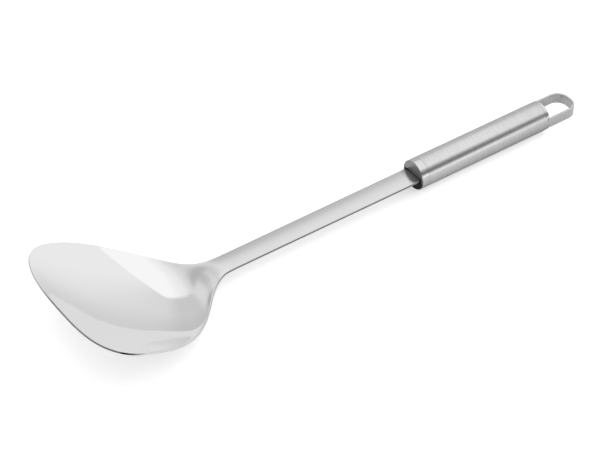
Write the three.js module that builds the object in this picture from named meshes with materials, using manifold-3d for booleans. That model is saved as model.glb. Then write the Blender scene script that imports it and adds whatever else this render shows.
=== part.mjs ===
// A wok spatula of stainless steel: a dished blade pressed in one piece with its flat stem, held in a
// round hollow handle that is closed by two turned caps and ends in a hanging loop.
//
// Every "reach" is a distance from the handle's front face towards the blade's tip, and every height is
// measured from the handle's axis. Lengths are millimetres. X runs back along the handle and Z is up.
import * as THREE from "three";
import { mergeVertices } from "three/addons/utils/BufferGeometryUtils.js";
import Module from "manifold-3d";

// Handle: tube, front cap and rear cap, all turned to one diameter.
const HANDLE_DIAMETER = 19;
const HANDLE_LENGTH = 99;
const TUBE_WALL = 1;
const FRONT_CAP_LENGTH = 5.4;
const FRONT_SPIGOT_LENGTH = 9;
const FRONT_EDGE_RADIUS = 0.6;
const REAR_CAP_LENGTH = 2.3;
const REAR_SPIGOT_LENGTH = 6;
const SEAM_CHAMFER = 0.2;

// Hanging loop: a strap on edge, bent round two corners, with its ends let into the rear cap.
const LOOP_REACH = 23.8;
const LOOP_WIDTH = 18.9;
const LOOP_CORNER_RADIUS = 8.2;
const STRAP_HEIGHT = 7;
const STRAP_THICKNESS = 1.5;
const STRAP_EDGE_ROUND = 0.4;
const LOOP_SEAT_DEPTH = 1.2;

// Stem: a strap with a slightly crowned face, which runs on into the handle as a tang.
const STEM_REACH = 136;
const STEM_WIDTH_AT_HANDLE = 14.3;
const STEM_WIDTH_AT_NECK = 13.8;
const STEM_THICKNESS = 1.8;
const STEM_CROWN = 0.4;
const TANG_LENGTH = 26;

// Blade in plan: the neck widens to the shoulder, the sides swell to the widest place, and the front
// closes in a squared-off curve.
const BLADE_LENGTH = 105;
const BLADE_WIDTH = 105.6;
const SHOULDER_FROM_NECK = 22;
const SHOULDER_WIDTH = 41.2;
const SHOULDER_SLOPE = 1.25;
const FRONT_DEPTH = 28.8;
const FRONT_SQUARENESS = 3;

// Blade from the side: the keel breaks away from the stem, drops to the bowl's floor and climbs through
// the middle of the bowl to the tip. The rim dips at the shoulder and climbs to the front corners.
const KEEL_BREAK_FROM_NECK = 1.4;
const KEEL_DROP_FROM_NECK = 13.7;
const KEEL_DROP_HEIGHT = -3.5;
const KEEL_DROP_SLOPE = -0.66;
const FLOOR_FROM_NECK = 30.2;
const BOWL_FROM_NECK = 65;
const BOWL_HEIGHT = 1.7;
const BOWL_SLOPE = 0.43;
const TIP_HEIGHT = 24.8;
const TIP_SLOPE = 0.75;
const RIM_DIP_FROM_NECK = 19;
const RIM_DIP_HEIGHT = -1.7;
const CORNER_HEIGHT = 25.2;
const CORNER_SLOPE = 0.15;
const BLADE_THICKNESS = 1.2;

// Blade across: a plain parabola in the bowl, and a fuller section at the neck, which is flatter in the
// middle and steeper at the edges.
const NECK_FULLNESS = 0.26;
const FULL_SECTION_FROM_NECK = 12;
const PLAIN_SECTION_FROM_NECK = 56;

// Clearances of the fitted pieces.
const SPIGOT_CLEARANCE = 0.15;
const SLOT_CLEARANCE = 0.2;
const SLOT_END_CLEARANCE = 0.6;
const SEAT_CLEARANCE = 0.2;
const SEAM_GAP = 0.05;

// Fineness of the curved faces.
const TURNED_SIDES = 64;
const CORNER_STEPS = 10;
const ROUND_STEPS = 3;
const ACROSS_STEPS = 26;
const BOWL_STEPS = 24;
const FRONT_STEPS = 9;

// How far a cutter runs on past the face it opens, and how near two points must lie to be joined.
const CUT_OVERRUN = 1;
const WELD_DISTANCE = 1e-4;

const handleRadius = HANDLE_DIAMETER / 2;
const boreRadius = handleRadius - TUBE_WALL;
const spigotRadius = boreRadius - SPIGOT_CLEARANCE;
const tipReach = STEM_REACH + BLADE_LENGTH;
const loopEnd = HANDLE_LENGTH + LOOP_REACH;

const wasm = await Module();
wasm.setup();

// A closed geometry as a solid that can be cut.
function toSolid(geometry) {
  const bare = new THREE.BufferGeometry();
  bare.setAttribute("position", geometry.getAttribute("position"));
  bare.setIndex(geometry.index);
  const merged = mergeVertices(bare, WELD_DISTANCE);
  const mesh = new wasm.Mesh({
    numProp: 3,
    vertProperties: merged.getAttribute("position").array,
    triVerts: new Uint32Array(merged.index.array),
  });
  return new wasm.Manifold(mesh);
}

function toGeometry(solid) {
  const mesh = solid.getMesh();
  const geometry = new THREE.BufferGeometry();
  geometry.setAttribute("position", new THREE.BufferAttribute(mesh.vertProperties, 3));
  geometry.setIndex(new THREE.BufferAttribute(mesh.triVerts, 1));
  geometry.computeVertexNormals();
  return geometry;
}

function cutAway(geometry, cutters) {
  const solid = cutters.reduce((rest, cutter) => rest.subtract(toSolid(cutter)), toSolid(geometry));
  return toGeometry(solid);
}

// A profile of [place along the handle, radius] turned about the handle's axis. The facets start at
// the top, so with an even number of sides one of their edges lies at the very bottom.
function turned(profile) {
  const points = profile.map(([along, radius]) => new THREE.Vector2(radius, along));
  const geometry = new THREE.LatheGeometry(points, TURNED_SIDES);
  return geometry.rotateZ(-Math.PI / 2);
}

function boxBetween(low, high) {
  const box = new THREE.Box3(new THREE.Vector3(...low), new THREE.Vector3(...high));
  const size = box.getSize(new THREE.Vector3());
  const centre = box.getCenter(new THREE.Vector3());
  return new THREE.BoxGeometry(size.x, size.y, size.z).translate(centre.x, centre.y, centre.z);
}

// A value that runs smoothly through stations of [reach, value, slope], and is level beyond them.
function fairCurve(stations) {
  return (reach) => {
    const next = stations.findIndex((station) => station[0] > reach);
    if (next === 0) return stations[0][1];
    if (next < 0) return stations[stations.length - 1][1];
    const [start, startValue, startSlope] = stations[next - 1];
    const [end, endValue, endSlope] = stations[next];
    const span = end - start;
    const t = (reach - start) / span;
    const ease = t * t * (3 - 2 * t);
    const leaving = t * (1 - t) * (1 - t) * startSlope;
    const arriving = t * t * (t - 1) * endSlope;
    return startValue + ease * (endValue - startValue) + span * (leaving + arriving);
  };
}

// Blade and stem
const sectionDepth = STEM_THICKNESS + STEM_CROWN;
const stemTop = sectionDepth / 2;
const floorTop = BLADE_THICKNESS - handleRadius;
const widestReach = tipReach - FRONT_DEPTH;
const cornerShare = 0.5 ** (1 / FRONT_SQUARENESS);
const cornerReach = widestReach + FRONT_DEPTH * cornerShare;

const squaredCurve = (share) => (1 - share ** FRONT_SQUARENESS) ** (1 / FRONT_SQUARENESS);

const sideHalfWidth = fairCurve([
  [0, STEM_WIDTH_AT_HANDLE / 2, 0],
  [STEM_REACH, STEM_WIDTH_AT_NECK / 2, 0],
  [STEM_REACH + SHOULDER_FROM_NECK, SHOULDER_WIDTH / 2, SHOULDER_SLOPE],
  [widestReach, BLADE_WIDTH / 2, 0],
]);

const keelHeight = fairCurve([
  [STEM_REACH + KEEL_BREAK_FROM_NECK, stemTop, 0],
  [STEM_REACH + KEEL_DROP_FROM_NECK, KEEL_DROP_HEIGHT, KEEL_DROP_SLOPE],
  [STEM_REACH + FLOOR_FROM_NECK, floorTop, 0],
  [STEM_REACH + BOWL_FROM_NECK, BOWL_HEIGHT, BOWL_SLOPE],
  [tipReach, TIP_HEIGHT, TIP_SLOPE],
]);

const rimHeight = fairCurve([
  [STEM_REACH, stemTop - STEM_CROWN, 0],
  [STEM_REACH + RIM_DIP_FROM_NECK, RIM_DIP_HEIGHT, 0],
  [cornerReach, CORNER_HEIGHT, CORNER_SLOPE],
]);

const sectionFullness = fairCurve([
  [STEM_REACH + FULL_SECTION_FROM_NECK, NECK_FULLNESS, 0],
  [STEM_REACH + PLAIN_SECTION_FROM_NECK, 0, 0],
]);

const sheetThickness = fairCurve([
  [STEM_REACH, STEM_THICKNESS, 0],
  [STEM_REACH + FLOOR_FROM_NECK, BLADE_THICKNESS, 0],
]);

// How far a cross row bulges forward: not at all up to the widest place, then more and more, and by the
// whole front curve in the last row, whose ends lie in the middle of the front corners.
function rowBulge(reach, across) {
  const share = Math.max(0, reach - widestReach) / (cornerReach - widestReach);
  return share ** 2 * FRONT_DEPTH * (squaredCurve(cornerShare * Math.abs(across)) - cornerShare);
}

function halfWidth(reach) {
  if (reach <= widestReach) return sideHalfWidth(reach);
  return (BLADE_WIDTH / 2) * squaredCurve((reach - widestReach) / FRONT_DEPTH);
}

// A point of the upper face: across runs from -1 at one edge through the keel to 1 at the other.
function upperPoint(reach, across) {
  const keel = keelHeight(reach + rowBulge(reach, 0));
  const fullness = sectionFullness(reach);
  const climb = across ** 2 * (1 - fullness + fullness * across ** 2);
  const height = keel + (rimHeight(reach) - keel) * climb;
  return new THREE.Vector3(-reach - rowBulge(reach, across), halfWidth(reach) * across, height);
}

// The upper face as rows of points, with the quads split alike on both sides of the keel.
function upperFace() {
  const steps = (from, to, count) =>
    Array.from({ length: count }, (_, i) => from + ((to - from) * (i + 1)) / count);
  const rows = [
    -TANG_LENGTH,
    0,
    STEM_REACH,
    ...steps(STEM_REACH, widestReach, BOWL_STEPS),
    ...steps(widestReach, cornerReach, FRONT_STEPS),
  ];
  const across = Array.from({ length: ACROSS_STEPS + 1 }, (_, i) => (2 * i) / ACROSS_STEPS - 1);
  const points = rows.flatMap((reach) => across.map((share) => upperPoint(reach, share)));
  const thickness = rows.flatMap((reach) => across.map(() => sheetThickness(reach)));
  const triangles = [];
  for (let start = 0; start < points.length - across.length; start += across.length) {
    for (let i = 0; i < ACROSS_STEPS; i++) {
      const a = start + i;
      const b = a + 1;
      const c = b + across.length;
      const d = a + across.length;
      if (across[i] < 0) triangles.push([a, b, d], [b, c, d]);
      else triangles.push([a, b, c], [a, c, d]);
    }
  }
  return { points, thickness, triangles, rowLength: across.length };
}

// The edge of the upper face, walked from the tang's corner round the blade and back.
function edgeLoop(count, rowLength) {
  const last = count - rowLength;
  const tangEnd = Array.from({ length: rowLength - 1 }, (_, i) => i);
  const farSide = Array.from({ length: last / rowLength }, (_, r) => r * rowLength + rowLength - 1);
  const front = Array.from({ length: rowLength - 1 }, (_, i) => count - 1 - i);
  const nearSide = Array.from({ length: last / rowLength }, (_, r) => last - r * rowLength);
  return [...tangEnd, ...farSide, ...front, ...nearSide];
}

// The sheet: the upper face, the same face set off square to it by the sheet's thickness, and the cut
// edge between them.
function bladeGeometry() {
  const { points, thickness, triangles, rowLength } = upperFace();
  const count = points.length;
  const upper = new THREE.BufferGeometry().setFromPoints(points);
  upper.setIndex(triangles.flat());
  upper.computeVertexNormals();
  const normals = upper.getAttribute("normal");
  const lower = points.map((point, i) => {
    const normal = new THREE.Vector3().fromBufferAttribute(normals, i);
    return point.clone().addScaledVector(normal, -thickness[i]);
  });
  const under = triangles.map(([a, b, c]) => [count + a, count + c, count + b]);
  const loop = edgeLoop(count, rowLength);
  const edge = loop.flatMap((a, i) => {
    const b = loop[(i + 1) % loop.length];
    return [
      [a, count + a, b],
      [b, count + a, count + b],
    ];
  });
  const geometry = new THREE.BufferGeometry().setFromPoints([...points, ...lower]);
  geometry.setIndex([...triangles, ...under, ...edge].flat());
  geometry.computeVertexNormals();
  return geometry;
}

// Front cap: a round head with a softened front edge, a spigot in the tube and a slot for the tang.
function frontCapGeometry() {
  const edge = Array.from({ length: ROUND_STEPS + 1 }, (_, i) => {
    const angle = (i / ROUND_STEPS) * (Math.PI / 2);
    const along = FRONT_EDGE_RADIUS * (1 - Math.sin(angle));
    return [along, handleRadius - FRONT_EDGE_RADIUS * (1 - Math.cos(angle))];
  }).reverse();
  const spigotEnd = FRONT_CAP_LENGTH + FRONT_SPIGOT_LENGTH;
  const head = turned([
    [0, 0],
    ...edge,
    [FRONT_CAP_LENGTH - SEAM_CHAMFER, handleRadius],
    [FRONT_CAP_LENGTH, handleRadius - SEAM_CHAMFER],
    [FRONT_CAP_LENGTH, spigotRadius],
    [spigotEnd, spigotRadius],
    [spigotEnd, 0],
  ]);
  const halfSlot = STEM_WIDTH_AT_HANDLE / 2 + SLOT_END_CLEARANCE;
  const slotTop = sectionDepth / 2 + SLOT_CLEARANCE;
  const slotEnd = spigotEnd + CUT_OVERRUN;
  const slot = boxBetween([-CUT_OVERRUN, -halfSlot, -slotTop], [slotEnd, halfSlot, slotTop]);
  return cutAway(head, [slot]);
}

// Handle tube: drawn tube with both ends faced and lightly chamfered at the seams.
function handleTubeGeometry() {
  const front = FRONT_CAP_LENGTH + SEAM_GAP;
  const rear = HANDLE_LENGTH - REAR_CAP_LENGTH - SEAM_GAP;
  return turned([
    [front, boreRadius],
    [front, handleRadius - SEAM_CHAMFER],
    [front + SEAM_CHAMFER, handleRadius],
    [rear - SEAM_CHAMFER, handleRadius],
    [rear, handleRadius - SEAM_CHAMFER],
    [rear, boreRadius],
    [front, boreRadius],
  ]);
}

// Rear cap: a thin round head with a spigot in the tube and two notches that seat the loop's ends.
function rearCapGeometry() {
  const headStart = HANDLE_LENGTH - REAR_CAP_LENGTH;
  const cap = turned([
    [headStart - REAR_SPIGOT_LENGTH, 0],
    [headStart - REAR_SPIGOT_LENGTH, spigotRadius],
    [headStart, spigotRadius],
    [headStart, handleRadius - SEAM_CHAMFER],
    [headStart + SEAM_CHAMFER, handleRadius],
    [HANDLE_LENGTH - SEAM_CHAMFER, handleRadius],
    [HANDLE_LENGTH, handleRadius - SEAM_CHAMFER],
    [HANDLE_LENGTH, 0],
  ]);
  const notchFloor = HANDLE_LENGTH - LOOP_SEAT_DEPTH - SEAT_CLEARANCE;
  const notchInner = LOOP_WIDTH / 2 - STRAP_THICKNESS - SEAT_CLEARANCE;
  const notchTop = STRAP_HEIGHT / 2 + SEAT_CLEARANCE;
  const beyond = HANDLE_DIAMETER;
  const notches = [1, -1].map((side) => {
    const low = [notchFloor, Math.min(side * notchInner, side * beyond), -notchTop];
    const high = [loopEnd, Math.max(side * notchInner, side * beyond), notchTop];
    return boxBetween(low, high);
  });
  return cutAway(cap, notches);
}

// Hanging loop: the bent strap seen from above, extruded to the strap's height with rounded edges.
function hangingLoopGeometry() {
  const root = HANDLE_LENGTH - LOOP_SEAT_DEPTH;
  const outer = LOOP_WIDTH / 2;
  const inner = outer - STRAP_THICKNESS;
  const bendStart = loopEnd - LOOP_CORNER_RADIUS;
  const bendSide = outer - LOOP_CORNER_RADIUS;
  const innerRadius = LOOP_CORNER_RADIUS - STRAP_THICKNESS;
  const shape = new THREE.Shape();
  shape.moveTo(root, -outer);
  shape.absarc(bendStart, -bendSide, LOOP_CORNER_RADIUS, -Math.PI / 2, 0, false);
  shape.absarc(bendStart, bendSide, LOOP_CORNER_RADIUS, 0, Math.PI / 2, false);
  shape.lineTo(root, outer);
  shape.lineTo(root, inner);
  shape.absarc(bendStart, bendSide, innerRadius, Math.PI / 2, 0, true);
  shape.absarc(bendStart, -bendSide, innerRadius, 0, -Math.PI / 2, true);
  shape.lineTo(root, -inner);
  const strap = new THREE.ExtrudeGeometry(shape, {
    depth: STRAP_HEIGHT - 2 * STRAP_EDGE_ROUND,
    curveSegments: CORNER_STEPS,
    bevelSize: STRAP_EDGE_ROUND,
    bevelThickness: STRAP_EDGE_ROUND,
    bevelOffset: -STRAP_EDGE_ROUND,
    bevelSegments: ROUND_STEPS,
  });
  return strap.translate(0, 0, STRAP_EDGE_ROUND - STRAP_HEIGHT / 2);
}

function steel(color, roughness) {
  return new THREE.MeshStandardMaterial({ color, metalness: 1, roughness });
}

const pieces = [
  ["blade_and_stem", bladeGeometry(), steel(0xe3e3e3, 0.06)],
  ["front_cap", frontCapGeometry(), steel(0xcfcfcf, 0.22)],
  ["handle_tube", handleTubeGeometry(), steel(0xd4d4d4, 0.3)],
  ["rear_cap", rearCapGeometry(), steel(0xcfcfcf, 0.22)],
  ["hanging_loop", hangingLoopGeometry(), steel(0xb8b8b8, 0.32)],
];

// The part lies level on a table: the handle and the bowl's floor touch it, and the origin is on the
// table halfway along the part.
const spatula = new THREE.Group();
for (const [name, geometry, material] of pieces) {
  const mesh = new THREE.Mesh(geometry, material);
  mesh.name = name;
  spatula.add(mesh);
}
const extent = new THREE.Box3().setFromObject(spatula);
spatula.position.set(-(extent.min.x + extent.max.x) / 2, 0, -extent.min.z);

export default spatula;
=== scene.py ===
import math

import bpy
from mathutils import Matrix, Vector


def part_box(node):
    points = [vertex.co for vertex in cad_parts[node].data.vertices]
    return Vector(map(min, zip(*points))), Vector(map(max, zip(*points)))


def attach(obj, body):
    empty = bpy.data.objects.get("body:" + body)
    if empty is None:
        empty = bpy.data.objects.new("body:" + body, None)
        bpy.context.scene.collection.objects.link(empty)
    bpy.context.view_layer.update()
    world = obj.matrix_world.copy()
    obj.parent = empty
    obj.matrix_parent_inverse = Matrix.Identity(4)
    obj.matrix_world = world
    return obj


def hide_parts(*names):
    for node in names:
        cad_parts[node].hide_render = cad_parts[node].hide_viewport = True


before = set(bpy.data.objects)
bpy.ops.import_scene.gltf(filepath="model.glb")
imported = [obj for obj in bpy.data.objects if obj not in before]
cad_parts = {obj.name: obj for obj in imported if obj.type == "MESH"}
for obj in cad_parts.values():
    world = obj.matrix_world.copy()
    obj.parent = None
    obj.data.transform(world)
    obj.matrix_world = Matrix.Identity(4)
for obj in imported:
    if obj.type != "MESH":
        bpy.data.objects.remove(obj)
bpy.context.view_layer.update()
bpy.context.scene.view_settings.view_transform = "Standard"

# Blade and stem
# One sheet of stainless steel, blanked to outline, pressed into the dished blade and the neck, and drawn out
# into the flat stem, whose tang is welded into the handle. The blade is mirror polished and the stem is
# brushed along its length.
MM = 0.001
front_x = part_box("front_cap")[0].x
tube_low, tube_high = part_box("handle_tube")
axis_z = (tube_low.z + tube_high.z) / 2

# Places along the sheet are reaches from the handle's front face, and heights are over the handle's axis.
TANG = 26 * MM
STEM = 136 * MM
STEM_HALF_AT_HANDLE = 7.15 * MM
STEM_HALF_AT_NECK = 6.9 * MM
STEM_SHEET = 1.8 * MM
STEM_CROWN = 0.4 * MM
BLADE_SHEET = 1.2 * MM
BLADE_LENGTH = 105 * MM
BLADE_HALF_WIDTH = 52.8 * MM
SHOULDER = STEM + 22 * MM
SHOULDER_HALF_WIDTH = 20.6 * MM
SHOULDER_SLOPE = 1.25
FRONT_DEPTH = 28.8 * MM
FRONT_SQUARENESS = 3
KEEL_BREAK = STEM + 1.4 * MM
KEEL_DROP = STEM + 13.7 * MM
KEEL_DROP_HEIGHT = -3.5 * MM
KEEL_DROP_SLOPE = -0.66
BOWL_FLOOR = STEM + 30.2 * MM
BOWL_RISE = STEM + 65 * MM
BOWL_RISE_HEIGHT = 1.7 * MM
BOWL_RISE_SLOPE = 0.43
TIP_HEIGHT = 24.8 * MM
TIP_SLOPE = 0.75
RIM_DIP = STEM + 19 * MM
RIM_DIP_HEIGHT = -1.7 * MM
CORNER_HEIGHT = 25.2 * MM
CORNER_SLOPE = 0.15
NECK_FULLNESS = 0.26
FULL_SECTION = STEM + 12 * MM
PLAIN_SECTION = STEM + 56 * MM
EDGE_ROUND = 0.3 * MM
EDGE_ROUND_SEGMENTS = 2
SHARP_ANGLE = math.radians(50)
SHEET_SMOOTHING = 2

TIP = STEM + BLADE_LENGTH
WIDEST = TIP - FRONT_DEPTH
CORNER_SHARE = 0.5 ** (1 / FRONT_SQUARENESS)
CORNER = WIDEST + FRONT_DEPTH * CORNER_SHARE
stem_top = (STEM_SHEET + STEM_CROWN) / 2
bowl_floor_top = BLADE_SHEET - axis_z


def fair(stations, reach):
    """A value that runs smoothly through stations of (reach, value, slope), level beyond them."""
    if reach <= stations[0][0]:
        return stations[0][1]
    for (start, first, first_slope), (end, last, last_slope) in zip(stations, stations[1:]):
        if reach <= end:
            span = end - start
            share = (reach - start) / span
            rest = 1 - share
            ease = share * share * (3 - 2 * share)
            sway = span * share * rest * (rest * first_slope - share * last_slope)
            return first + ease * (last - first) + sway
    return stations[-1][1]


def squared_curve(share):
    """A quarter of a circle drawn out towards a square: 1 at a share of 0, and 0 at a share of 1."""
    return max(0.0, 1 - share**FRONT_SQUARENESS) ** (1 / FRONT_SQUARENESS)


def pressed(reach, across):
    """Where the press puts a point of the blank's upper face; across is -1 and 1 at the edges."""
    # Past the widest place the rows bow forwards, until the last one is the working front. The middle of a
    # row then lies ahead of its ends, so its keel is taken further on.
    share = max(0.0, reach - WIDEST) / (CORNER - WIDEST)
    bow = share * share * FRONT_DEPTH
    bulge = bow * (squared_curve(CORNER_SHARE * abs(across)) - CORNER_SHARE)
    keel = fair(
        [
            (KEEL_BREAK, stem_top, 0),
            (KEEL_DROP, KEEL_DROP_HEIGHT, KEEL_DROP_SLOPE),
            (BOWL_FLOOR, bowl_floor_top, 0),
            (BOWL_RISE, BOWL_RISE_HEIGHT, BOWL_RISE_SLOPE),
            (TIP, TIP_HEIGHT, TIP_SLOPE),
        ],
        reach + bow * (1 - CORNER_SHARE),
    )
    rim = fair(
        [
            (STEM, stem_top - STEM_CROWN, 0),
            (RIM_DIP, RIM_DIP_HEIGHT, 0),
            (CORNER, CORNER_HEIGHT, CORNER_SLOPE),
        ],
        reach,
    )
    if reach > WIDEST:
        half_width = BLADE_HALF_WIDTH * squared_curve((reach - WIDEST) / FRONT_DEPTH)
    else:
        half_width = fair(
            [
                (0, STEM_HALF_AT_HANDLE, 0),
                (STEM, STEM_HALF_AT_NECK, 0),
                (SHOULDER, SHOULDER_HALF_WIDTH, SHOULDER_SLOPE),
                (WIDEST, BLADE_HALF_WIDTH, 0),
            ],
            reach,
        )
    # The neck's section is fuller than a plain dish: flat along the keel, and steep near the rims.
    fullness = fair([(FULL_SECTION, NECK_FULLNESS, 0), (PLAIN_SECTION, 0, 0)], reach)
    height = keel + (rim - keel) * across**2 * (1 - fullness + fullness * across**2)
    return Vector((front_x - reach - bulge, half_width * across, axis_z + height))


def spread(start, end, count):
    """That many even steps from the start, up to but without the end."""
    return [start + (end - start) * i / count for i in range(count)]


# The blank is a flat grid from -1 to 1. A tight first row keeps the tang's end square when it is smoothed.
TANG_END_ROW = 2 * MM
STEM_ROWS = 14
BOWL_ROWS = 20
FRONT_ROWS = 9
FACES_ACROSS = 26
rows = [
    -TANG,
    *spread(TANG_END_ROW - TANG, STEM, STEM_ROWS),
    *spread(STEM, WIDEST, BOWL_ROWS),
    *spread(WIDEST, CORNER, FRONT_ROWS),
    CORNER,
]
bpy.ops.object.select_all(action="DESELECT")
bpy.ops.mesh.primitive_grid_add(x_subdivisions=len(rows) - 1, y_subdivisions=FACES_ACROSS, size=2)
blade = bpy.context.object
blade.name = "pressed_blade_and_stem"
sheet_gauge = blade.vertex_groups.new(name="sheet_gauge")
for vertex in blade.data.vertices:
    reach = rows[round((1 - vertex.co.x) / 2 * (len(rows) - 1))]
    vertex.co = pressed(reach, vertex.co.y)
    gauge = fair([(STEM, STEM_SHEET, 0), (BOWL_FLOOR, BLADE_SHEET, 0)], reach)
    sheet_gauge.add([vertex.index], gauge / STEM_SHEET, "REPLACE")


def linear(hex_code):
    """An sRGB hex colour as the linear RGBA that shader sockets take."""
    levels = [int(hex_code[i : i + 2], 16) / 255 for i in (1, 3, 5)]
    return (*[v / 12.92 if v <= 0.04045 else ((v + 0.055) / 1.055) ** 2.4 for v in levels], 1)


def add_node(tree, kind, inputs=None, **settings):
    """Adds a node, sets its properties, and fills its inputs with values or with links from outputs."""
    node = tree.nodes.new(kind)
    for name, value in settings.items():
        setattr(node, name, value)
    for name, value in (inputs or {}).items():
        socket = node.inputs[name]
        if isinstance(value, bpy.types.NodeSocket):
            tree.links.new(value, socket)
        else:
            socket.default_value = value
    return node


def new_material(name):
    """A new material with its node tree and its shader."""
    material = bpy.data.materials.new(name)
    material.use_nodes = True
    return material, material.node_tree, material.node_tree.nodes["Principled BSDF"]


# The Mix node's sockets go by position, because their names repeat for numbers and colours.
FACTOR, NUMBER_A, NUMBER_B, COLOUR_A, COLOUR_B = 0, 2, 3, 6, 7
MIXED_NUMBER, MIXED_COLOUR = 0, 2

# Mirror-polished stainless sheet: near-white with sharp reflections in the blade, hazier up the neck, and
# greyer and blurred along the brushed stem. By the handle it is painted darker, as a painted reflection of
# the handle's end face.
BLADE_STEEL = "#E3E3E3"
STEM_STEEL = "#CFCFCF"
PAINTED_HANDLE_REFLECTION = "#8F8F8F"
BLADE_HAZE = (0.03, 0.07)
STEM_HAZE = (0.14, 0.26)
STEM_TONE_FADE = (STEM + 15 * MM, STEM - 6 * MM)
NECK_HAZE_FADE = (STEM + 40 * MM, STEM + 10 * MM)
HANDLE_REFLECTION_FADE = (7 * MM, 0)
MARK_WIDTH = 0.4 * MM
MARK_LENGTH = 12 * MM
MARK_DEPTH = 0.02 * MM
MARK_STRENGTH = 0.03
polished, tree, shader = new_material("mirror_polished_stainless_sheet")
place = add_node(tree, "ShaderNodeTexCoord")
split = add_node(tree, "ShaderNodeSeparateXYZ", {0: place.outputs["Object"]})
on_stem, up_neck, near_handle_reflection = (
    add_node(
        tree,
        "ShaderNodeMapRange",
        {"Value": split.outputs["X"], "From Min": front_x - start, "From Max": front_x - end},
        interpolation_type="SMOOTHSTEP",
    ).outputs["Result"]
    for start, end in (STEM_TONE_FADE, NECK_HAZE_FADE, HANDLE_REFLECTION_FADE)
)
# Polishing marks run along the spatula. Real ones are finer: these are drawn coarse so that they show.
marks_scale = add_node(
    tree,
    "ShaderNodeMapping",
    {"Vector": place.outputs["Object"], "Scale": (1 / MARK_LENGTH, 1 / MARK_WIDTH, 1 / MARK_WIDTH)},
)
marks = add_node(
    tree, "ShaderNodeTexNoise", {"Vector": marks_scale.outputs["Vector"], "Scale": 1, "Detail": 3}
)
blade_haze, stem_haze = (
    add_node(
        tree, "ShaderNodeMapRange", {"Value": marks.outputs["Fac"], "To Min": low, "To Max": high}
    ).outputs["Result"]
    for low, high in (BLADE_HAZE, STEM_HAZE)
)
haze = add_node(tree, "ShaderNodeMix", {FACTOR: up_neck, NUMBER_A: blade_haze, NUMBER_B: stem_haze})
tone = add_node(
    tree,
    "ShaderNodeMix",
    {FACTOR: on_stem, COLOUR_A: linear(BLADE_STEEL), COLOUR_B: linear(STEM_STEEL)},
    data_type="RGBA",
)
# Painted reflection: the stem darkens over its last 7 mm at the handle, for the handle's end mirrored in it.
with_handle_reflection = add_node(
    tree,
    "ShaderNodeMix",
    {FACTOR: near_handle_reflection, COLOUR_A: tone.outputs[MIXED_COLOUR], COLOUR_B: linear(PAINTED_HANDLE_REFLECTION)},
    data_type="RGBA",
)
grain = add_node(
    tree,
    "ShaderNodeBump",
    {"Height": marks.outputs["Fac"], "Strength": MARK_STRENGTH, "Distance": MARK_DEPTH},
)
tree.links.new(with_handle_reflection.outputs[MIXED_COLOUR], shader.inputs["Base Color"])
tree.links.new(haze.outputs[MIXED_NUMBER], shader.inputs["Roughness"])
tree.links.new(grain.outputs["Normal"], shader.inputs["Normal"])
shader.inputs["Metallic"].default_value = 1
blade.data.materials.append(polished)

# Ground sheet edge: a dull dark line along the stem's sides and the near half of the working front, where it
# is partly a dull ground edge and partly a painted dark reflection. A painted black reflection sits at the
# front's near corner, and round the shoulders the edge is polished over with the blade.
EDGE_STEEL = "#D8D8D8"
SCORED_STEEL_AND_DARK_REFLECTION = ("#6E6E6E", "#8C8C8C")
PAINTED_BLACK_REFLECTION = "#101010"
EDGE_ROUGHNESS = 0.3
SCORE_SPACING = 0.6 * MM
FRONT_EDGE_FADE = (WIDEST + 18 * MM, WIDEST + 6 * MM)
NEAR_HALF_REFLECTION_FADE = (2 * MM, 24 * MM)
FRONT_DULLNESS_AND_REFLECTION = (0.8, 0.15)
STEM_EDGE_FADE = (SHOULDER - 4 * MM, STEM)
STEM_DULLNESS = 0.8
BLACK_REFLECTION_Y = -47 * MM
BLACK_REFLECTION_FADE = 1 * MM
ground, tree, shader = new_material("ground_stainless_edge")
place = add_node(tree, "ShaderNodeTexCoord")
split = add_node(tree, "ShaderNodeSeparateXYZ", {0: place.outputs["Object"]})
at_front = add_node(
    tree,
    "ShaderNodeMapRange",
    {
        "Value": split.outputs["X"],
        "From Min": front_x - FRONT_EDGE_FADE[0],
        "From Max": front_x - FRONT_EDGE_FADE[1],
        "To Min": 1,
        "To Max": 0,
    },
    interpolation_type="SMOOTHSTEP",
)
# Painted dark reflection: the front edge is darkest on its near half and fades across the blade.
front_dark_reflection_across = add_node(
    tree,
    "ShaderNodeMapRange",
    {
        "Value": split.outputs["Y"],
        "From Min": NEAR_HALF_REFLECTION_FADE[0],
        "From Max": NEAR_HALF_REFLECTION_FADE[1],
        "To Min": FRONT_DULLNESS_AND_REFLECTION[0],
        "To Max": FRONT_DULLNESS_AND_REFLECTION[1],
    },
    interpolation_type="SMOOTHSTEP",
)
front_dullness_and_reflection = add_node(
    tree,
    "ShaderNodeMath",
    {0: at_front.outputs["Result"], 1: front_dark_reflection_across.outputs["Result"]},
    operation="MULTIPLY",
)
dull_stem = add_node(
    tree,
    "ShaderNodeMapRange",
    {
        "Value": split.outputs["X"],
        "From Min": front_x - STEM_EDGE_FADE[0],
        "From Max": front_x - STEM_EDGE_FADE[1],
        "To Max": STEM_DULLNESS,
    },
    interpolation_type="SMOOTHSTEP",
)
dullness_and_dark_reflection = add_node(
    tree,
    "ShaderNodeMath",
    {0: front_dullness_and_reflection.outputs[0], 1: dull_stem.outputs["Result"]},
    operation="MAXIMUM",
)
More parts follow.
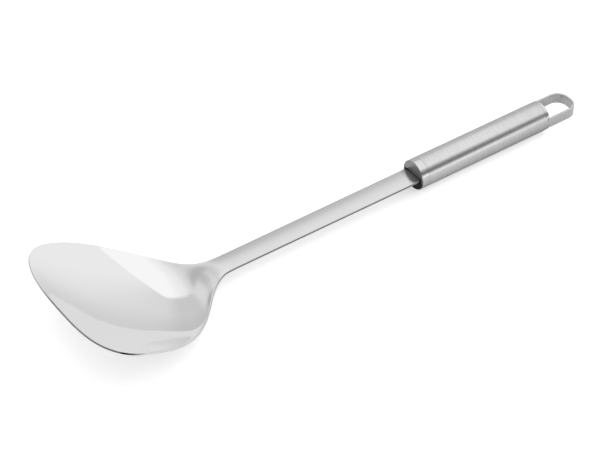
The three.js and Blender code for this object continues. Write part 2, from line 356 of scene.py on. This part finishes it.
# Grinding scores are drawn coarser than real ones so that they show.
scores = add_node(
    tree,
    "ShaderNodeTexNoise",
    {"Vector": place.outputs["Object"], "Scale": 1 / SCORE_SPACING, "Detail": 2},
)
scored_and_dark_reflection = add_node(
    tree,
    "ShaderNodeMix",
    {
        FACTOR: scores.outputs["Fac"],
        COLOUR_A: linear(SCORED_STEEL_AND_DARK_REFLECTION[0]),
        COLOUR_B: linear(SCORED_STEEL_AND_DARK_REFLECTION[1]),
    },
    data_type="RGBA",
)
tone = add_node(
    tree,
    "ShaderNodeMix",
    {FACTOR: dullness_and_dark_reflection.outputs[0], COLOUR_A: linear(EDGE_STEEL), COLOUR_B: scored_and_dark_reflection.outputs[MIXED_COLOUR]},
    data_type="RGBA",
)
# Painted black reflection on the front edge at its near corner.
black_reflection_reach = add_node(
    tree,
    "ShaderNodeMapRange",
    {
        "Value": split.outputs["Y"],
        "From Min": BLACK_REFLECTION_Y - BLACK_REFLECTION_FADE,
        "From Max": BLACK_REFLECTION_Y,
        "To Min": 1,
        "To Max": 0,
    },
)
black_reflection_at_corner = add_node(
    tree,
    "ShaderNodeMath",
    {0: at_front.outputs["Result"], 1: black_reflection_reach.outputs["Result"]},
    operation="MULTIPLY",
)
with_black_reflection = add_node(
    tree,
    "ShaderNodeMix",
    {FACTOR: black_reflection_at_corner.outputs[0], COLOUR_A: tone.outputs[MIXED_COLOUR], COLOUR_B: linear(PAINTED_BLACK_REFLECTION)},
    data_type="RGBA",
)
tree.links.new(with_black_reflection.outputs[MIXED_COLOUR], shader.inputs["Base Color"])
shader.inputs["Metallic"].default_value = 1
shader.inputs["Roughness"].default_value = EDGE_ROUGHNESS
blade.data.materials.append(ground)

sheet = blade.modifiers.new("sheet", "SOLIDIFY")
sheet.thickness = STEM_SHEET
sheet.offset = -1
sheet.vertex_group = sheet_gauge.name
sheet.material_offset_rim = 1
bpy.ops.object.modifier_apply(modifier=sheet.name)
deburring = blade.modifiers.new("deburred edge", "BEVEL")
deburring.width = EDGE_ROUND
deburring.segments = EDGE_ROUND_SEGMENTS
deburring.limit_method = "ANGLE"
deburring.angle_limit = SHARP_ANGLE
bpy.ops.object.modifier_apply(modifier=deburring.name)
smoothing = blade.modifiers.new("pressed surface", "SUBSURF")
smoothing.levels = smoothing.render_levels = SHEET_SMOOTHING
bpy.ops.object.modifier_apply(modifier=smoothing.name)
bpy.ops.object.shade_smooth()
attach(blade, "root")
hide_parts("blade_and_stem")

# Front cap
# A turned stainless plug that closes the front of the handle. Its rim is brushed round like the tube, its
# end face is left as turned, and a slot through it takes the tang, which is welded in.
CAP_RADIUS = 9.5 * MM
CAP_LENGTH = 5.4 * MM
CAP_SPIGOT = 9 * MM
CAP_EDGE_RADIUS = 0.6 * MM
CAP_EDGE_SEGMENTS = 5
BORE_RADIUS = 8.5 * MM
SPIGOT_CLEARANCE = 0.15 * MM
SPIGOT_RADIUS = BORE_RADIUS - SPIGOT_CLEARANCE
SEAM_CHAMFER = 0.1 * MM
SLOT_CLEARANCE = 0.2 * MM
SLOT_END_CLEARANCE = 0.6 * MM
SLOT_HALF_WIDTH = STEM_HALF_AT_HANDLE + SLOT_END_CLEARANCE
SLOT_HALF_HEIGHT = stem_top + SLOT_CLEARANCE
TURNED_SIDES = 128
ROUND_ANGLE = math.radians(28)
TOUCH = 0.01 * MM
OVERCUT = 1 * MM


def select_edges(piece, wanted):
    """In edit mode, selects only the edges whose two ends both meet the test."""
    bpy.ops.mesh.select_all(action="DESELECT")
    bpy.ops.mesh.select_mode(type="EDGE")
    bpy.ops.object.mode_set(mode="OBJECT")
    for edge in piece.data.edges:
        edge.select = all(wanted(piece.data.vertices[end].co) for end in edge.vertices)
    bpy.ops.object.mode_set(mode="EDIT")


def select_faces(piece, wanted):
    """In edit mode, selects only the faces whose centre meets the test."""
    bpy.ops.mesh.select_all(action="DESELECT")
    bpy.ops.mesh.select_mode(type="FACE")
    bpy.ops.object.mode_set(mode="OBJECT")
    for face in piece.data.polygons:
        face.select = wanted(face.center)
    bpy.ops.object.mode_set(mode="EDIT")


def add_turned_blank(name, start, end):
    """A round bar on the handle's axis, in edit mode with its place already in its mesh."""
    bpy.ops.object.select_all(action="DESELECT")
    bpy.ops.mesh.primitive_cylinder_add(
        vertices=TURNED_SIDES,
        radius=CAP_RADIUS,
        depth=end - start,
        location=((start + end) / 2, 0, axis_z),
        rotation=(0, math.pi / 2, 0),
    )
    blank = bpy.context.object
    blank.name = name
    bpy.ops.object.transform_apply(location=True, rotation=True, scale=True)
    bpy.ops.object.mode_set(mode="EDIT")
    return blank


def cut_box(piece, low, high):
    """Mills a square pocket out of a piece with a boolean, and leaves the piece selected."""
    bpy.ops.object.select_all(action="DESELECT")
    size = [top - bottom for bottom, top in zip(low, high)]
    centre = [(top + bottom) / 2 for bottom, top in zip(low, high)]
    bpy.ops.mesh.primitive_cube_add(size=1, location=centre, scale=size)
    cutter = bpy.context.object
    bpy.context.view_layer.objects.active = piece
    pocket = piece.modifiers.new("milled pocket", "BOOLEAN")
    pocket.object = cutter
    pocket.solver = "EXACT"
    bpy.ops.object.modifier_apply(modifier=pocket.name)
    bpy.data.objects.remove(cutter)
    piece.select_set(True)


cap_end = front_x + CAP_LENGTH
front_cap = add_turned_blank("turned_front_cap", front_x, cap_end)
select_edges(front_cap, lambda co: co.x < front_x + TOUCH)
bpy.ops.mesh.bevel(offset=CAP_EDGE_RADIUS, segments=CAP_EDGE_SEGMENTS, affect="EDGES")
select_edges(front_cap, lambda co: co.x > cap_end - TOUCH)
bpy.ops.mesh.bevel(offset=SEAM_CHAMFER, segments=1, affect="EDGES")
select_faces(front_cap, lambda centre: centre.x > cap_end - TOUCH)
bpy.ops.mesh.inset(thickness=CAP_RADIUS - SEAM_CHAMFER - SPIGOT_RADIUS)
bpy.ops.mesh.extrude_region_move(TRANSFORM_OT_translate={"value": (CAP_SPIGOT, 0, 0)})
bpy.ops.object.mode_set(mode="OBJECT")
cut_box(
    front_cap,
    (front_x - OVERCUT, -SLOT_HALF_WIDTH, axis_z - SLOT_HALF_HEIGHT),
    (cap_end + CAP_SPIGOT + OVERCUT, SLOT_HALF_WIDTH, axis_z + SLOT_HALF_HEIGHT),
)
bpy.ops.object.shade_smooth_by_angle(angle=ROUND_ANGLE)

# Turned stainless: a rim with fine rings that smears reflections along the axis, and an end face of a darker
# grey, with painted shade from the slot down for the shaded floor that it reflects.
RIM_STEEL = "#D2D2D2"
FACE_STEEL_AND_SHADE = ("#525252", "#A2A2A2")
FACE_SHADE_FADE = (axis_z - 2 * MM, axis_z + 2.5 * MM)
RIM_START = 0.1 * MM
RIM_HAZE = (0.16, 0.3)
RIM_SMEAR = 0.9
RING_SPACING = 0.5 * MM
RING_LENGTH = 30 * MM
# Metal darkens where the eye only grazes it, because the fine lines on it shadow each other.
GRAZED_STEEL = "#DADADA"
# A quarter turn from the tangent, which runs round the axis.
ALONG_AXIS = 0.25
turned, tree, shader = new_material("turned_and_satined_stainless_cap")
place = add_node(tree, "ShaderNodeTexCoord")
split = add_node(tree, "ShaderNodeSeparateXYZ", {0: place.outputs["Object"]})
# Rings are drawn coarser than real turning marks so that they show.
ring_scale = add_node(
    tree,
    "ShaderNodeMapping",
    {"Vector": place.outputs["Object"], "Scale": (1 / RING_SPACING, 1 / RING_LENGTH, 1 / RING_LENGTH)},
)
rings = add_node(
    tree, "ShaderNodeTexNoise", {"Vector": ring_scale.outputs["Vector"], "Scale": 1, "Detail": 2}
)
haze = add_node(
    tree,
    "ShaderNodeMapRange",
    {"Value": rings.outputs["Fac"], "To Min": RIM_HAZE[0], "To Max": RIM_HAZE[1]},
)
# Painted shade: the end face darkens from the slot down, for the shaded floor that it reflects.
face_shade_by_height = add_node(
    tree,
    "ShaderNodeMapRange",
    {"Value": split.outputs["Z"], "From Min": FACE_SHADE_FADE[0], "From Max": FACE_SHADE_FADE[1]},
)
face_with_painted_shade = add_node(
    tree,
    "ShaderNodeMix",
    {
        FACTOR: face_shade_by_height.outputs["Result"],
        COLOUR_A: linear(FACE_STEEL_AND_SHADE[0]),
        COLOUR_B: linear(FACE_STEEL_AND_SHADE[1]),
    },
    data_type="RGBA",
)
on_rim = add_node(
    tree,
    "ShaderNodeMapRange",
    {"Value": split.outputs["X"], "From Min": front_x + RIM_START, "From Max": front_x + CAP_EDGE_RADIUS},
)
tone = add_node(
    tree,
    "ShaderNodeMix",
    {FACTOR: on_rim.outputs["Result"], COLOUR_A: face_with_painted_shade.outputs[MIXED_COLOUR], COLOUR_B: linear(RIM_STEEL)},
    data_type="RGBA",
)
around = add_node(tree, "ShaderNodeTangent", direction_type="RADIAL", axis="X")
tree.links.new(tone.outputs[MIXED_COLOUR], shader.inputs["Base Color"])
tree.links.new(haze.outputs["Result"], shader.inputs["Roughness"])
tree.links.new(around.outputs["Tangent"], shader.inputs["Tangent"])
shader.inputs["Metallic"].default_value = 1
shader.inputs["Specular Tint"].default_value = linear(GRAZED_STEEL)
shader.inputs["Anisotropic"].default_value = RIM_SMEAR
shader.inputs["Anisotropic Rotation"].default_value = ALONG_AXIS
front_cap.data.materials.append(turned)
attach(front_cap, "root")
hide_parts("front_cap")

# Handle tube
# A length of drawn round stainless tube, the grip, brushed round its circumference and slid over the
# spigots of the two caps. Both ends are faced and lightly chamfered, so the seams read as fine rings.
TUBE_CHAMFER_SEGMENTS = 2
tube = add_turned_blank("brushed_handle_tube", tube_low.x, tube_high.x)
select_faces(tube, lambda centre: math.hypot(centre.y, centre.z - axis_z) < TOUCH)
bpy.ops.mesh.inset(thickness=CAP_RADIUS - BORE_RADIUS, use_individual=True)
bpy.ops.mesh.bridge_edge_loops()
# Every outer edge is eased: the rings at the ends, and the long edges between the blank's flat sides.
select_edges(tube, lambda co: math.hypot(co.y, co.z - axis_z) > CAP_RADIUS - TOUCH)
bpy.ops.mesh.bevel(offset=SEAM_CHAMFER, segments=TUBE_CHAMFER_SEGMENTS, affect="EDGES")
bpy.ops.object.mode_set(mode="OBJECT")
bpy.ops.object.shade_smooth_by_angle(angle=ROUND_ANGLE)

# Circumferentially brushed stainless tube: reflections stay sharp round the tube and smear along it, so the
# tones run as long bands that darken towards the outlines, broken by short streaks of the brush.
BRUSHED_STEEL = ("#C2C2C2", "#E8E8E8")
BRUSHED_HAZE = (0.24, 0.37)
BRUSHED_SMEAR = 0.95
BRUSH_SPACING = 0.6 * MM
BRUSH_LENGTH = 7 * MM
brushed, tree, shader = new_material("circumferentially_brushed_stainless_tube")
place = add_node(tree, "ShaderNodeTexCoord")
# Brush lines are drawn coarser than real ones so that they show.
brush_scale = add_node(
    tree,
    "ShaderNodeMapping",
    {"Vector": place.outputs["Object"], "Scale": (1 / BRUSH_SPACING, 1 / BRUSH_LENGTH, 1 / BRUSH_LENGTH)},
)
brush = add_node(
    tree, "ShaderNodeTexNoise", {"Vector": brush_scale.outputs["Vector"], "Scale": 1, "Detail": 3}
)
haze = add_node(
    tree,
    "ShaderNodeMapRange",
    {"Value": brush.outputs["Fac"], "To Min": BRUSHED_HAZE[0], "To Max": BRUSHED_HAZE[1]},
)
tone = add_node(
    tree,
    "ShaderNodeMix",
    {
        FACTOR: brush.outputs["Fac"],
        COLOUR_A: linear(BRUSHED_STEEL[0]),
        COLOUR_B: linear(BRUSHED_STEEL[1]),
    },
    data_type="RGBA",
)
around = add_node(tree, "ShaderNodeTangent", direction_type="RADIAL", axis="X")
tree.links.new(tone.outputs[MIXED_COLOUR], shader.inputs["Base Color"])
tree.links.new(haze.outputs["Result"], shader.inputs["Roughness"])
tree.links.new(around.outputs["Tangent"], shader.inputs["Tangent"])
shader.inputs["Metallic"].default_value = 1
shader.inputs["Specular Tint"].default_value = linear(GRAZED_STEEL)
shader.inputs["Anisotropic"].default_value = BRUSHED_SMEAR
shader.inputs["Anisotropic Rotation"].default_value = ALONG_AXIS
tube.data.materials.append(brushed)
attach(tube, "root")
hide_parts("handle_tube")

# Rear cap
# A thin turned stainless cap pressed into the rear of the tube and finished like the front one, with two
# notches in its rim that seat the ends of the hanging loop.
REAR_SPIGOT = 6 * MM
REAR_EDGE_RADIUS = 0.2 * MM
REAR_EDGE_SEGMENTS = 2
STRAP = 1.5 * MM
STRAP_HALF_HEIGHT = 3.5 * MM
LOOP_HALF_WIDTH = 9.45 * MM
SEAT_DEPTH = 1.2 * MM
SEAT_CLEARANCE = 0.2 * MM
rear_low, rear_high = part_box("rear_cap")
rear_head = rear_low.x + REAR_SPIGOT
rear_cap = add_turned_blank("turned_rear_cap", rear_head, rear_high.x)
select_edges(rear_cap, lambda co: co.x > rear_high.x - TOUCH)
bpy.ops.mesh.bevel(offset=REAR_EDGE_RADIUS, segments=REAR_EDGE_SEGMENTS, affect="EDGES")
select_edges(rear_cap, lambda co: co.x < rear_head + TOUCH)
bpy.ops.mesh.bevel(offset=REAR_EDGE_RADIUS, segments=1, affect="EDGES")
select_faces(rear_cap, lambda centre: centre.x < rear_head + TOUCH)
bpy.ops.mesh.inset(thickness=CAP_RADIUS - REAR_EDGE_RADIUS - SPIGOT_RADIUS)
bpy.ops.mesh.extrude_region_move(TRANSFORM_OT_translate={"value": (-REAR_SPIGOT, 0, 0)})
bpy.ops.object.mode_set(mode="OBJECT")
notch_floor = rear_high.x - SEAT_DEPTH - SEAT_CLEARANCE
notch_inner = LOOP_HALF_WIDTH - STRAP - SEAT_CLEARANCE
notch_outer = CAP_RADIUS + OVERCUT
notch_half_height = STRAP_HALF_HEIGHT + SEAT_CLEARANCE
for low_y, high_y in ((notch_inner, notch_outer), (-notch_outer, -notch_inner)):
    cut_box(
        rear_cap,
        (notch_floor, low_y, axis_z - notch_half_height),
        (rear_high.x + OVERCUT, high_y, axis_z + notch_half_height),
    )
bpy.ops.object.shade_smooth_by_angle(angle=ROUND_ANGLE)
rear_cap.data.materials.append(turned)
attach(rear_cap, "root")
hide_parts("rear_cap")

# Hanging loop
# A stainless strap on edge, bent round two corners into a loop, with rounded long edges and its ends let
# into the rear cap and welded. It is tumbled, which leaves it greyer than the tube.
LOOP_CORNER = 8.2 * MM
BEND_STEPS = 16
STRAP_EDGE_ROUND = 0.4 * MM
STRAP_EDGE_SEGMENTS = 3
STRAP_ROUND_ANGLE = math.radians(40)
loop_low, loop_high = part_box("hanging_loop")
bend_x = loop_high.x - LOOP_CORNER
bend_y = LOOP_HALF_WIDTH - LOOP_CORNER
leg = bend_x - loop_low.x
bpy.ops.object.select_all(action="DESELECT")
bpy.ops.mesh.primitive_plane_add(
    size=1,
    location=(loop_low.x, STRAP / 2 - LOOP_HALF_WIDTH, axis_z),
    rotation=(0, math.pi / 2, 0),
)
loop = bpy.context.object
loop.name = "bent_hanging_loop"
loop.scale = (2 * STRAP_HALF_HEIGHT, STRAP, 1)
bpy.ops.object.transform_apply(location=True, rotation=True, scale=True)
bpy.ops.object.mode_set(mode="EDIT")
bpy.ops.mesh.select_all(action="SELECT")
# The strap's section is drawn out along one leg, round both corners, and back along the other leg.
bpy.ops.mesh.extrude_region_move(TRANSFORM_OT_translate={"value": (leg, 0, 0)})
bpy.ops.mesh.spin(steps=BEND_STEPS, angle=-math.pi / 2, center=(bend_x, -bend_y, axis_z), axis=(0, 0, 1))
bpy.ops.mesh.extrude_region_move(TRANSFORM_OT_translate={"value": (0, 2 * bend_y, 0)})
bpy.ops.mesh.spin(steps=BEND_STEPS, angle=-math.pi / 2, center=(bend_x, bend_y, axis_z), axis=(0, 0, 1))
bpy.ops.mesh.extrude_region_move(TRANSFORM_OT_translate={"value": (-leg, 0, 0)})
bpy.ops.mesh.select_all(action="SELECT")
bpy.ops.mesh.remove_doubles(threshold=TOUCH)
bpy.ops.mesh.normals_make_consistent(inside=False)
bpy.ops.object.mode_set(mode="OBJECT")
rounding = loop.modifiers.new("rounded edges", "BEVEL")
rounding.width = STRAP_EDGE_ROUND
rounding.segments = STRAP_EDGE_SEGMENTS
rounding.limit_method = "ANGLE"
rounding.angle_limit = SHARP_ANGLE
bpy.ops.object.modifier_apply(modifier=rounding.name)
bpy.ops.object.shade_smooth_by_angle(angle=STRAP_ROUND_ANGLE)

# Tumbled stainless strap: a soft grey sheen with a faint mottle.
TUMBLED_STEEL = ("#C0C0C0", "#CECECE")
TUMBLED_HAZE = (0.2, 0.32)
MOTTLE = 0.8 * MM
tumbled, tree, shader = new_material("tumbled_stainless_strap")
place = add_node(tree, "ShaderNodeTexCoord")
# The mottle is drawn coarser than the real one so that it shows.
mottle = add_node(
    tree, "ShaderNodeTexNoise", {"Vector": place.outputs["Object"], "Scale": 1 / MOTTLE, "Detail": 3}
)
haze = add_node(
    tree,
    "ShaderNodeMapRange",
    {"Value": mottle.outputs["Fac"], "To Min": TUMBLED_HAZE[0], "To Max": TUMBLED_HAZE[1]},
)
tone = add_node(
    tree,
    "ShaderNodeMix",
    {
        FACTOR: mottle.outputs["Fac"],
        COLOUR_A: linear(TUMBLED_STEEL[0]),
        COLOUR_B: linear(TUMBLED_STEEL[1]),
    },
    data_type="RGBA",
)
tree.links.new(tone.outputs[MIXED_COLOUR], shader.inputs["Base Color"])
tree.links.new(haze.outputs["Result"], shader.inputs["Roughness"])
shader.inputs["Metallic"].default_value = 1
loop.data.materials.append(tumbled)
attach(loop, "root")
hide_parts("hanging_loop")

# Floor
# A plain pale studio table, wide enough that its far edge lies at the horizon, which takes the spatula's
# shadow. A glow of its own lifts it to white for the camera, and the metal sees a weaker glow, which fades
# out close under the handle and is strongest in front.
FLOOR_SIZE = 24
PAPER = "#F7F7F7"
PAPER_ROUGHNESS = 0.9
PAPER_GLOSS = 0.1
WHITE = "#FFFFFF"
GLOW_TO_CAMERA = 0.5
GLOW_REACH = 200 * MM
GLOW_IN_METAL = ((-150 * MM, 0.3), (-60 * MM, 0.12), (-15 * MM, 0), (15 * MM, 0), (80 * MM, 0.12))


def brightness_along(tree, value, low, high, stops):
    """A brightness that eases through stops of (value, brightness), level beyond them."""
    share = add_node(tree, "ShaderNodeMapRange", {"Value": value, "From Min": low, "From Max": high})
    ramp = add_node(tree, "ShaderNodeValToRGB", {"Fac": share.outputs["Result"]})
    elements = ramp.color_ramp.elements
    ramp.color_ramp.interpolation = "EASE"
    elements.remove(elements[1])
    for i, (at, brightness) in enumerate(stops):
        position = (at - low) / (high - low)
        stop = elements[0] if i == 0 else elements.new(position)
        stop.position = position
        stop.color = (brightness, brightness, brightness, 1)
    return ramp.outputs["Color"]


bpy.ops.object.select_all(action="DESELECT")
bpy.ops.mesh.primitive_plane_add(size=FLOOR_SIZE, location=(0, 0, 0))
floor = bpy.context.object
floor.name = "studio_floor"

# Matt white paper: next to no gloss, so it shows only soft shade.
paper, tree, shader = new_material("matt_white_paper")
place = add_node(tree, "ShaderNodeTexCoord")
split = add_node(tree, "ShaderNodeSeparateXYZ", {0: place.outputs["Object"]})
ray = add_node(tree, "ShaderNodeLightPath")
reflected = add_node(
    tree,
    "ShaderNodeMath",
    {0: ray.outputs["Is Glossy Ray"], 1: ray.outputs["Is Transmission Ray"]},
    operation="MAXIMUM",
)
under_handle = brightness_along(tree, split.outputs["Y"], -GLOW_REACH, GLOW_REACH, GLOW_IN_METAL)
in_metal = add_node(
    tree, "ShaderNodeMath", {0: reflected.outputs[0], 1: under_handle}, operation="MULTIPLY"
)
to_camera = add_node(
    tree, "ShaderNodeMath", {0: ray.outputs["Is Camera Ray"], 1: GLOW_TO_CAMERA}, operation="MULTIPLY"
)
glow = add_node(tree, "ShaderNodeMath", {0: in_metal.outputs[0], 1: to_camera.outputs[0]}, operation="ADD")
tree.links.new(glow.outputs[0], shader.inputs["Emission Strength"])
shader.inputs["Emission Color"].default_value = linear(WHITE)
shader.inputs["Base Color"].default_value = linear(PAPER)
shader.inputs["Roughness"].default_value = PAPER_ROUGHNESS
shader.inputs["Specular IOR Level"].default_value = PAPER_GLOSS
floor.data.materials.append(paper)

# Studio light
# One large soft panel overhead that fades on a slant towards the blade, and pale walls round the table. The
# walls dim behind the spatula and beyond the blade, and in front a dark gap runs between the panel and a
# low fill light.

# A direction's turn is its angle round the handle, from the horizon behind it, over the top, to the front.
# Its lean is its slope along the handle, negative towards the blade. Its compass is its angle round the
# table, from the loop's end. Angles are in degrees.
PANEL_TURN = (46, 122)
PANEL_TURN_SOFTNESS = 3
PANEL_END_LEAN = 0.92
PANEL_END_SOFTNESS = 0.05
PANEL_CORNER_CUT = 18
PANEL_SLANT = 0.6
PANEL_FADE = ((-0.62, 0.56), (-0.4, 0.9), (-0.2, 1.06), (0.15, 1.2))
WALL_ROUND = (
    (-180, 0.85), (-90, 1.04), (20, 1.06), (45, 0.88), (60, 0.74), (80, 0.73), (95, 0.9),
    (114, 0.9), (150, 0.84), (180, 0.85),
)
WALL_FOOT = 0.9
WALL_FOOT_HEIGHT = 0.3
BLADE_END_WALL = 0.66
BLADE_END_LEAN = -0.54
BLADE_END_SOFTNESS = 0.09
FRONT_GAP = ((122, 1.0), (138, 0.5), (148, 0.22), (158, 0.27), (168, 0.66), (174, 1.55))
# Keeps the lean within bounds at the horizon and below it.
LOWEST_HEIGHT = 0.02
studio = bpy.data.worlds.new("studio")
studio.use_nodes = True
bpy.context.scene.world = studio
tree = studio.node_tree
sky = tree.nodes["Background"]
toward = add_node(tree, "ShaderNodeTexCoord")
split = add_node(tree, "ShaderNodeSeparateXYZ", {0: toward.outputs["Generated"]})


def angle_of(tree, rise, run):
    """The angle of two parts of a direction, in degrees."""
    radians = add_node(tree, "ShaderNodeMath", {0: rise, 1: run}, operation="ARCTAN2")
    return add_node(tree, "ShaderNodeMath", {0: radians.outputs[0]}, operation="DEGREES").outputs[0]


height = add_node(
    tree, "ShaderNodeMath", {0: split.outputs["Z"], 1: LOWEST_HEIGHT}, operation="MAXIMUM"
).outputs[0]
lean = add_node(tree, "ShaderNodeMath", {0: split.outputs["X"], 1: height}, operation="DIVIDE").outputs[0]
turn = angle_of(tree, height, split.outputs["Y"])
compass = angle_of(tree, split.outputs["Y"], split.outputs["X"])

at_foot = add_node(
    tree,
    "ShaderNodeMapRange",
    {
        "Value": split.outputs["Z"],
        "From Min": 0,
        "From Max": WALL_FOOT_HEIGHT,
        "To Min": WALL_FOOT,
        "To Max": 1,
    },
    interpolation_type="SMOOTHSTEP",
)
at_blade_end = add_node(
    tree,
    "ShaderNodeMapRange",
    {
        "Value": lean,
        "From Min": BLADE_END_LEAN - BLADE_END_SOFTNESS,
        "From Max": BLADE_END_LEAN + BLADE_END_SOFTNESS,
        "To Min": BLADE_END_WALL,
        "To Max": 1,
    },
    interpolation_type="SMOOTHSTEP",
)
walls = brightness_along(tree, compass, -180, 180, WALL_ROUND)
for dimming in (at_foot, at_blade_end):
    walls = add_node(
        tree, "ShaderNodeMath", {0: walls, 1: dimming.outputs["Result"]}, operation="MULTIPLY"
    ).outputs[0]

# The panel starts at its back edge, which is cut off at a slant towards the blade, and stops at its front
# edge and its end, whose softness is negative to turn them round.
toward_blade = add_node(tree, "ShaderNodeMath", {0: lean, 1: 0}, operation="MINIMUM").outputs[0]
back_turn = add_node(
    tree, "ShaderNodeMath", {0: toward_blade, 1: PANEL_CORNER_CUT, 2: turn}, operation="MULTIPLY_ADD"
).outputs[0]
panel_edges = (
    (back_turn, PANEL_TURN[0], PANEL_TURN_SOFTNESS),
    (turn, PANEL_TURN[1], -PANEL_TURN_SOFTNESS),
    (lean, PANEL_END_LEAN, -PANEL_END_SOFTNESS),
)
in_panel = 1
for value, edge, softness in panel_edges:
    inside = add_node(
        tree,
        "ShaderNodeMapRange",
        {"Value": value, "From Min": edge - softness, "From Max": edge + softness},
        interpolation_type="SMOOTHSTEP",
    )
    in_panel = add_node(
        tree, "ShaderNodeMath", {0: in_panel, 1: inside.outputs["Result"]}, operation="MULTIPLY"
    ).outputs[0]
slanted = add_node(
    tree,
    "ShaderNodeMath",
    {0: split.outputs["Y"], 1: -PANEL_SLANT, 2: split.outputs["X"]},
    operation="MULTIPLY_ADD",
).outputs[0]
panel = brightness_along(tree, slanted, -1, 1, PANEL_FADE)
lit = add_node(tree, "ShaderNodeMix", {FACTOR: in_panel, NUMBER_A: walls, NUMBER_B: panel})
gap = brightness_along(tree, turn, 0, 180, FRONT_GAP)
strength = add_node(
    tree, "ShaderNodeMath", {0: lit.outputs[MIXED_NUMBER], 1: gap}, operation="MULTIPLY"
)
tree.links.new(strength.outputs[0], sky.inputs["Strength"])
sky.inputs["Color"].default_value = linear(WHITE)

# Camera
# A long lens above and in front of the blade, as the spatula was photographed. Its place is taken from the
# middle of the handle's front face.
CAMERA_LENS = 120
CAMERA_SENSOR = 36
CAMERA_FROM_HANDLE = Vector((-581.0, -703.9, 768.2)) * MM
CAMERA_TILT = math.radians(48.41)
CAMERA_TURN = math.radians(-35.31)
camera_data = bpy.data.cameras.new("camera")
camera_data.lens = CAMERA_LENS
camera_data.sensor_width = CAMERA_SENSOR
camera_data.sensor_fit = "HORIZONTAL"
camera = bpy.data.objects.new("camera", camera_data)
camera.location = Vector((front_x, 0, axis_z)) + CAMERA_FROM_HANDLE
camera.rotation_euler = (CAMERA_TILT, 0, CAMERA_TURN)
bpy.context.scene.collection.objects.link(camera)
bpy.context.scene.camera = camera
